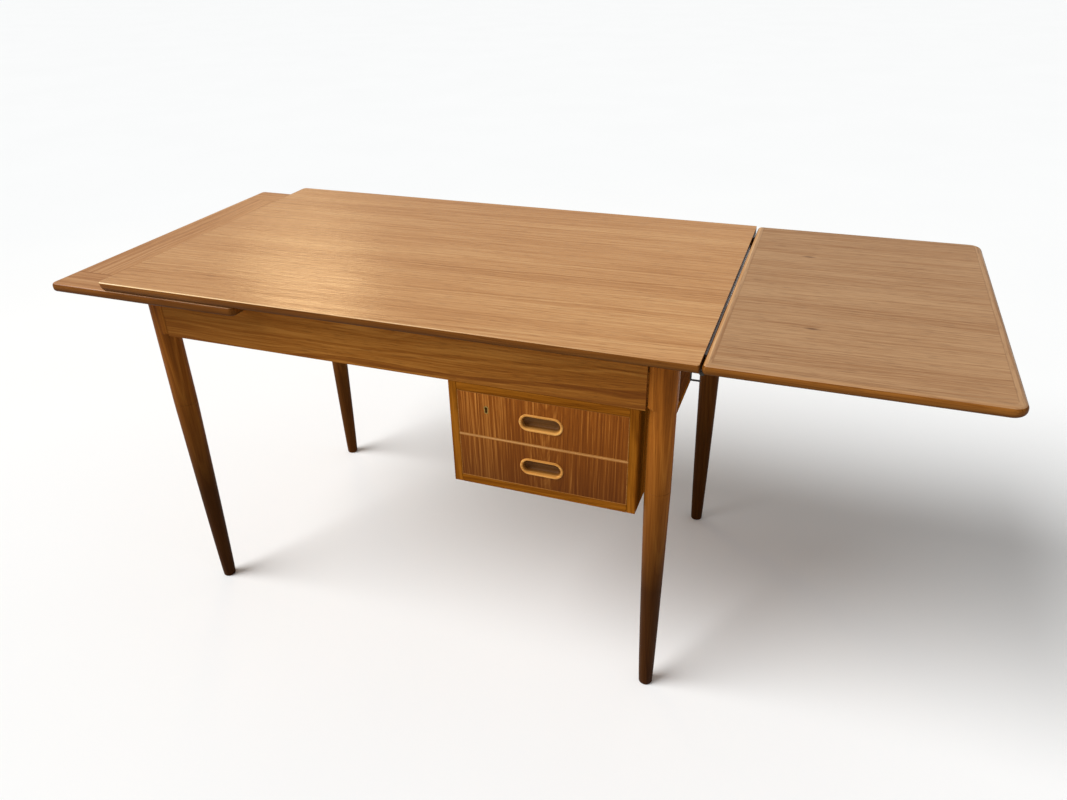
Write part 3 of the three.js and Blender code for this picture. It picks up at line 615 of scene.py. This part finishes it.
# Oiled teak, less faded than the top because it was mostly shut away.
rail_wood = teak("oiled_teak_rail", DRAW_TONES, "X", draw_middle, pith=(500, -150), ring=6.0,
                 specular=0.4)
band_wood = teak("oiled_teak_end_band", DRAW_TONES, "Y", draw_middle, pith=(350, -120),
                 ring=7.0, specular=0.4, seam=(*span("draw_leaf_end_band"), 0.3))
# Painted shade on the draw leaf's edges: darker below, where the edge turns away from the light.
draw_edge_painted_shade = (2, float(draw_high[2]) - 3 * MM, float(draw_low[2]), 0.0, 0.7)
draw_edges = {grain: teak(f"draw_leaf_edge_painted_shade_{grain.lower()}", EDGE_TONES, grain,
                          draw_middle, pith=(300, -120), ring=3.0, specular=0.03, fade=draw_edge_painted_shade)
              for grain in "XY"}
draw_profile = round_edge(draw_high[2] - draw_low[2], DRAW_ROUND, DRAW_ROUND)
draw_parts = {
    "draw_leaf_front_rail": (rail_wood, "X", (DRAW_RADIUS, DRAW_RADIUS, 0, 0), (1, 1, 1, 0)),
    "draw_leaf_back_rail": (rail_wood, "X", (0, 0, DRAW_RADIUS, DRAW_RADIUS), (1, 1, 0, 1)),
    "draw_leaf_end_band": (band_wood, "Y", (0, 0, 0, 0), (1, 0, 0, 0)),
    "draw_leaf_panel": (rail_wood, "X", (0, 0, 0, 0), (0, 1, 0, 0)),
}
for node, (finish, grain, radii, shares) in draw_parts.items():
    low, high = span(node)
    board(node + "_shaped", low, high, radii, draw_profile, finish, [node], shares,
          [(draw_edges[grain], 0, ROUND_ROWS[0])])
print("draw leaf rails", round((rail_high[1] - rail_low[1]) / MM, 1), "mm wide")

# %% [markdown]
# ## Legs
# Each leg is turned: it is a round taper, slightly full, that grows into a head. The head stays
# round at its outer corner and is squarer where the two aprons meet it. Spun profiles can't do
# that, so each ring of points is a superellipse whose power changes with the height and the side.

# %% Legs
FOOT_ROUND = 2.5 * MM
FOOT_STEPS = 6
FOOT_RADIUS = 12.7 * MM
HEAD_RADIUS = 22.6 * MM
TAPER_TOP = 456 * MM
SWELL = 0.75
GROOVE = 0.6 * MM     # a fine ring cut where the taper starts
SQUARENESS = 5.0      # power of the superellipse in the head: 2 is a circle, 14 nearly a square
SCOOP = 6 * MM        # height above the shoulder over which the round grows into the head
LEG_TONES = ("#754012", "#90531a", "#a86826", "#1c0b03")
# Painted shade on the legs: each darkens towards its foot, and the left and back legs are darker, as they
# stand in shade under the top.
SHADE_FROM, SHADE_TO = 0.56, 0.24     # heights between which a leg darkens towards its foot
LEG_PAINTED_SHADE = {                        # how dark each leg's wood is at its head and at its foot
    "leg_front_right": (0.02, 0.88), "leg_front_left": (0.32, 0.9), "leg_back_left": (0.25, 0.78),
    "leg_back_right": (0.62, 0.86),
}
apron_low, apron_high = span("front_apron")


def leg(node, finish):
    """radius(angle, z) = R(z) (|cos a|^n + |sin a|^n)^(-1/n): R tapers as a power of the height, and
    n rises from 2 to the squareness in the three quarters that face the aprons."""
    low, high = span(node)
    outer_x = -1 if "left" in node else 1
    outer_y = -1 if "front" in node else 1
    corner = np.array([low[0] if outer_x < 0 else high[0], low[1] if outer_y < 0 else high[1]])
    axis = corner - HEAD_RADIUS * np.array([outer_x, outer_y])
    turn = np.linspace(0, np.pi / 2, FOOT_STEPS + 1)
    foot_z = FOOT_ROUND * (1 - np.cos(turn))
    shoulder = apron_low[2]
    groove_z = TAPER_TOP + GROOVE * np.array([-1, 0, 1])
    z = np.concatenate([[0], foot_z, np.linspace(FOOT_ROUND, TAPER_TOP, 25)[1:-1], groove_z,
                        np.linspace(TAPER_TOP, shoulder, 6)[1:],
                        np.linspace(shoulder, shoulder + SCOOP, 7)[1:], [high[2] - MM, high[2]]])
    swell = np.clip(z / TAPER_TOP, 0, 1) ** SWELL
    radius = FOOT_RADIUS + (HEAD_RADIUS - FOOT_RADIUS) * swell
    radius -= GROOVE * (z == TAPER_TOP)
    radius[:FOOT_STEPS + 2] -= np.concatenate([[FOOT_ROUND + SUPPORT], FOOT_ROUND * (1 - np.sin(turn))])
    a = np.linspace(0, 2 * np.pi, 96, endpoint=False)
    c, s = np.cos(a), np.sin(a)
    rise = np.clip((z - shoulder) / SCOOP, 0, 1)
    rise = rise * rise * (3 - 2 * rise)
    inner = ~((c * outer_x > -1e-9) & (s * outer_y > -1e-9))
    power = 2 + (SQUARENESS - 2) * rise[:, None] * inner[None]
    reach = radius[:, None] * (np.abs(c) ** power + np.abs(s) ** power) ** (-1 / power)
    points = np.stack([axis[0] + reach * c, axis[1] + reach * s,
                       np.broadcast_to(z[:, None], reach.shape)], -1)
    return add_piece(node + "_turned", points, finish, body_of[node], [node])


# Turned solid teak, stained darker than the top, with a plain upright grain. The darkening towards the
# feet, nearly black there, and the darker left and back legs are painted shade.
for i, (node, (head, foot)) in enumerate(LEG_PAINTED_SHADE.items()):
    low, high = span(node)
    wood = teak(f"stained_teak_{node}", LEG_TONES, "Z", (low + high) / 2,
                pith=(90 - 9 * i, 75 + 11 * i), lean=(0.01, 0.02), ring=6.0, figure=0.4, fibre=0.3,
                broad=0.3, pores=0.2, roughness=0.4, specular=0.02,
                fade=(2, SHADE_FROM, SHADE_TO, head, foot))
    leg(node, wood)
print("legs", len(LEG_PAINTED_SHADE))

# %% [markdown]
# ## Frame and drawer case
# These are plain sawn boards, so their CAD shape is right apart from one thing: no real edge is
# perfectly sharp. Each is a copy of its CAD node with a fine round on its arrises, which gives
# the light an edge to catch and shows the joints as thin lines.

# %% Boards with eased arrises
def eased(node, finish, width=0.9 * MM, segments=2):
    """A copy of a CAD node, its flat faces merged, with a live bevel on every arris."""
    mesh = frame["nodes"][node].data.copy()
    mesh.name = node + "_eased"
    shape = bmesh.new()
    shape.from_mesh(mesh)
    bmesh.ops.remove_doubles(shape, verts=shape.verts, dist=1e-6)
    bmesh.ops.dissolve_limit(shape, angle_limit=math.radians(1), verts=shape.verts, edges=shape.edges)
    shape.to_mesh(mesh)
    shape.free()
    piece = finish_piece(node + "_eased", mesh, [finish], body_of[node], [node])
    bevel = piece.modifiers.new("eased arrises", "BEVEL")
    bevel.width = width
    bevel.segments = segments
    bevel.limit_method = "ANGLE"
    bevel.angle_limit = math.radians(50)
    bevel.harden_normals = True
    return piece


FRAME_TONES = ("#6e3e18", "#895420", "#a26c30", "#482412")
CASE_TONES = ("#6e3c0c", "#854e12", "#9c601c", "#482608")
left, right = float(apron_low[0]), float(apron_high[0])
apron_fade = (0, left, 0.6 * left + 0.4 * right, 0.35, 0.0)     # darker at its left end
# Painted shade on the right end rail: it is painted dark all over, as it lies in shadow under the top.
rail_painted_shade = (2, 0.0, 1.0, 0.8, 0.8)                            # dark all over, at every height
boards = (("front_apron", "X", FRAME_TONES, apron_fade), ("back_apron", "X", FRAME_TONES, None),
          ("left_end_rail", "Y", FRAME_TONES, None), ("right_end_rail", "Y", FRAME_TONES, rail_painted_shade),
          ("case_side_left", "Z", CASE_TONES, None), ("case_side_right", "Z", CASE_TONES, None),
          ("case_top", "X", CASE_TONES, None), ("case_bottom", "X", CASE_TONES, None))
# Solid teak with the same stain as the legs: low in sheen, its figure drawn out along each board.
for i, (node, grain, tones, fade) in enumerate(boards):
    low, high = span(node)
    eased(node, teak(f"stained_teak_{node}", tones, grain, (low + high) / 2,
                     pith=(120, 60 + 11 * i), lean=(0.0, 0.03), ring=5.0, figure=0.5, fibre=0.35,
                     broad=0.35, roughness=0.5, specular=0.0, fade=fade))
print("boards", len(boards))

# %% [markdown]
# ## Drawer fronts
# The fronts are faced with veneer in narrow upright leaves, so that the two drawers match as one
# sheet. They are plain boards, so the CAD mesh stays and only its material changes. Both share
# one material, which lets the lines run on from the upper drawer to the lower one.

# %% Drawer fronts
DRAWER_TONES = ("#713908", "#8a4b10", "#bf7b34", "#3a1802")
VENEER_LEAF = 41.0       # millimetres across one leaf of veneer
front_low, front_high = span("upper_drawer_front", "lower_drawer_front")
front_middle = (front_low + front_high) / 2
# Teak veneer in matched upright leaves: fine pale lines on brown, painted darker towards the lower drawer
# as painted shade.
front_veneer = teak("matched_teak_veneer", DRAWER_TONES, "Z", front_middle,
                    pith=(-70, -8), lean=(0.05, 0.0), ring=3.4, figure=0.4, fibre=0.5, broad=0.22,
                    roughness=0.42, specular=0.06, strip=VENEER_LEAF, stops=(0.22, 0.54, 0.86),
                    fade=(2, float(front_high[2]), float(front_low[2]), 0.0, 0.6))


def dress(node, finish):
    """Gives a CAD node's own mesh its finish and leaves its shape alone."""
    mesh = frame["nodes"][node].data
    mesh.materials.clear()
    mesh.materials.append(finish)


for node in ("upper_drawer_front", "lower_drawer_front"):
    dress(node, front_veneer)
print("drawer fronts", (front_high - front_low).round(4))

# %% [markdown]
# ## Beads
# A thin half-round strip of pale teak is let in round each front, where a knock would chip the
# veneer. It has one section all the way, so it is a small profile carried round a rectangle.

# %% Beads
BEAD_WIDTH = 1.1 * MM
BEAD_PROUD = 0.35 * MM
BEAD_SUNK = 0.5 * MM       # how deep the strip is let in
BEAD_OVER = 0.2 * MM       # how far it stands over the front's edge
BEAD_CORNER = 0.5 * MM


def upright(points):
    """Lays a flat piece up against a drawer front: (right, up, out) becomes (right, -out, up)."""
    return np.stack([points[..., 0], -points[..., 2], points[..., 1]], -1)


# Thin teak beads: a fine line a little lighter than the veneer.
bead_wood = teak("teak_bead", ("#8a521c", "#a26a30", "#b47c3e", "#5c3410"), "X", front_middle,
                 pith=(60, 40), ring=4.0, specular=0.05)


def bead(drawer):
    """A half-round strip carried round the front's edge, a closed loop carried round a rectangle."""
    low, high = span(f"{drawer}_front")
    t = np.linspace(0, np.pi, 7)
    inset = BEAD_WIDTH * (1 - np.cos(t)) / 2 - BEAD_OVER
    out = BEAD_PROUD * np.sin(t)
    back = [[inset[-1], -BEAD_SUNK], [inset[0], -BEAD_SUNK]]
    loop = np.concatenate([np.stack([inset, out], -1), back])
    rings = outline(low[[0, 2]], high[[0, 2]], (BEAD_CORNER,) * 4, loop[:, 0])
    points = upright(raised(rings, loop[:, 1] - low[1]))
    return add_piece(f"{drawer}_bead", points, bead_wood, body_of[f"{drawer}_front"], [], closed="ring")


# %% [markdown]
# ## Pulls
# The pulls are routed from paler wood: a raised, rounded rim and a hollow for the fingers. Rim
# and hollow are one profile carried round a slot with round ends. That keeps the rim's section
# even at the ends, which a stretched torus wouldn't.

# %% Pulls
PULL_RIM = 4.5 * MM
PULL_PROUD = 2.0 * MM
PULL_SUNK = 0.3 * MM      # the rim starts this far below the front's face, so that no gap shows
PULL_DEPTH = 12.5 * MM
PULL_BACK = 17.0 * MM
PULL_LAP = 2.0 * MM
# Lighter solid teak, carved and rubbed smooth: a golden rim, and a hollow painted darker with depth as
# painted shade.
pull_wood = teak("carved_teak_pull", ("#aa6f2a", "#cb8c42", "#e0a95c", "#4c2a0a"), "X",
                 front_middle, pith=(60, 40), ring=4.0, roughness=0.4, specular=0.1,
                 fade=(1, float(front_low[1]), float(front_low[1]) + 7 * MM, 0.0, 0.85))


def pull(drawer):
    """A loop of shell, rim and hollow carried round a slot with round ends: each ring is a pair of
    half circles whose radius is the slot's half height less the inset."""
    node = f"{drawer}_pull"
    face = span(f"{drawer}_front")[0][1]
    low, high = span(node)
    half_height = (high[2] - low[2]) / 2
    reach = (high[0] - low[0]) / 2 - half_height
    t = np.linspace(0, np.pi, 11)
    rise = -PULL_SUNK + (PULL_PROUD + PULL_SUNK) * np.sin(t) ** 0.8
    rim = np.stack([PULL_RIM * (1 - np.cos(t)) / 2, rise], -1)
    a = np.linspace(0, np.pi / 2, 14)[1:]
    hollow_width = half_height - PULL_RIM
    hollow = np.stack([PULL_RIM + hollow_width * (1 - np.cos(a) ** 0.7),
                       -PULL_DEPTH * np.sin(a) ** 0.8], -1)
    shell = [[half_height, -PULL_BACK], [PULL_LAP, -PULL_BACK], [PULL_LAP, -PULL_SUNK]]
    profile = np.concatenate([shell, rim, hollow])
    radius = (half_height - profile[:, 0])[:, None]
    quarter = np.linspace(-np.pi / 2, np.pi / 2, 25)
    angle = np.concatenate([quarter, quarter + np.pi])
    centre = np.repeat([reach, -reach], len(quarter))
    x = (low[0] + high[0]) / 2 + centre + radius * np.cos(angle)
    z = (low[2] + high[2]) / 2 + radius * np.sin(angle)
    y = np.broadcast_to(face - profile[:, 1][:, None], x.shape)
    return add_piece(f"{node}_carved", np.stack([x, y, z], -1), pull_wood, body_of[node], [node],
                     closed="poles")


for drawer in ("upper_drawer", "lower_drawer"):
    bead(drawer)
    pull(drawer)
print("beads", BEAD_WIDTH / MM, "mm wide, pulls", PULL_PROUD / MM, "mm proud")

# %% [markdown]
# ## Divider
# A thin board closes the case between the drawers. Only its front edge is seen, as a pale line,
# so its CAD mesh gets a paler teak and nothing else.

# %% Divider
# Solid teak left without stain: a pale, even line between the two fronts.
divider_wood = teak("pale_teak_divider", ("#9a6430", "#b57e46", "#c89258", "#7a4a20"), "X",
                    front_middle, pith=(60, 40), ring=4.0)
dress("case_divider", divider_wood)
divider_low, divider_high = span("case_divider")
print("divider", round((divider_high[2] - divider_low[2]) / MM, 1), "mm thick")

# %% [markdown]
# ## Beech
# The parts that nobody sees are beech: paler, plainer and unfinished. Beech has the same rings
# and fibres as teak but hardly any pores, so the teak recipe serves, with pale tones and few pores.

# %% Beech
# Planed beech, unfinished: pale and even, with no sheen.
beech = teak("planed_beech", ("#b89468", "#c8a878", "#d6ba8e", "#9c7a50"), "X",
             pith=(90, -60), ring=5.0, figure=0.3, fibre=0.4, broad=0.3, pores=0.15, roughness=0.6)
HIDDEN_PARTS = ("bearer", "hanger", "centre_board", "case_back", "runner", "drawer_side", "drawer_back",
                "drawer_bottom")
beech_nodes = [node for node in frame["nodes"] if any(word in node for word in HIDDEN_PARTS)]
for node in beech_nodes:
    dress(node, beech)
print("beech parts", len(beech_nodes))

# %% [markdown]
# ## Metalwork
# The hinges and the lock are dull rolled steel, and the keyhole has a brass liner. Metal colours
# its own reflections, so the shader's Metallic is 1 and the base colour is the colour of the glint.

# %% Metals
METAL_PATCH = 5.56       # millimetres across one patch of tarnish
SCRATCH = (3.33, 0.25)   # millimetres; real scratches are 0.02 mm wide, drawn wider so that they show


def metal(name, dark, light, roughness):
    """Rolled or cast metal: patches of tarnish in the tone and fine scratches in the roughness."""
    material, tree, shader = new_material(name)
    place = add(tree, "TexCoord").outputs["Object"]
    patches = add(tree, "TexNoise", Vector=place, Scale=1 / (METAL_PATCH * MM), Detail=3.0).outputs[0]
    length, width = SCRATCH
    lines = add(tree, "VectorMath", {"operation": "MULTIPLY"}, i0=place,
                i1=(1 / (length * MM), 1 / (width * MM), 1 / (width * MM))).outputs[0]
    scratches = add(tree, "TexNoise", Vector=lines, Scale=1.0, Detail=2.0).outputs[0]
    ramp = add(tree, "ValToRGB", Fac=patches)
    ramp.color_ramp.elements[0].position, ramp.color_ramp.elements[0].color = 0.3, linear(dark)
    ramp.color_ramp.elements[1].position, ramp.color_ramp.elements[1].color = 0.7, linear(light)
    tree.links.new(ramp.outputs[0], shader.inputs["Base Color"])
    rough = add(tree, "MapRange", Value=scratches, To_Min=roughness - 0.1,
                To_Max=roughness + 0.1).outputs[0]
    tree.links.new(rough, shader.inputs["Roughness"])
    shader.inputs["Metallic"].default_value = 1.0
    return material


# Rolled steel gone dull, and cast brass gone brown: soft grey and yellow glints.
steel = metal("rolled_steel", "#2a2826", "#4a4845", 0.5)
brass = metal("cast_brass", "#8a6c36", "#bb9a58", 0.35)
dress("keyhole_escutcheon", brass)
dress("drawer_lock_bolt", brass)
dress("drawer_lock_case", steel)
hinge_nodes = [node for node in frame["nodes"] if node.startswith("hinge_")]
for node in hinge_nodes:
    dress(node, steel)
print("hinge parts", len(hinge_nodes))
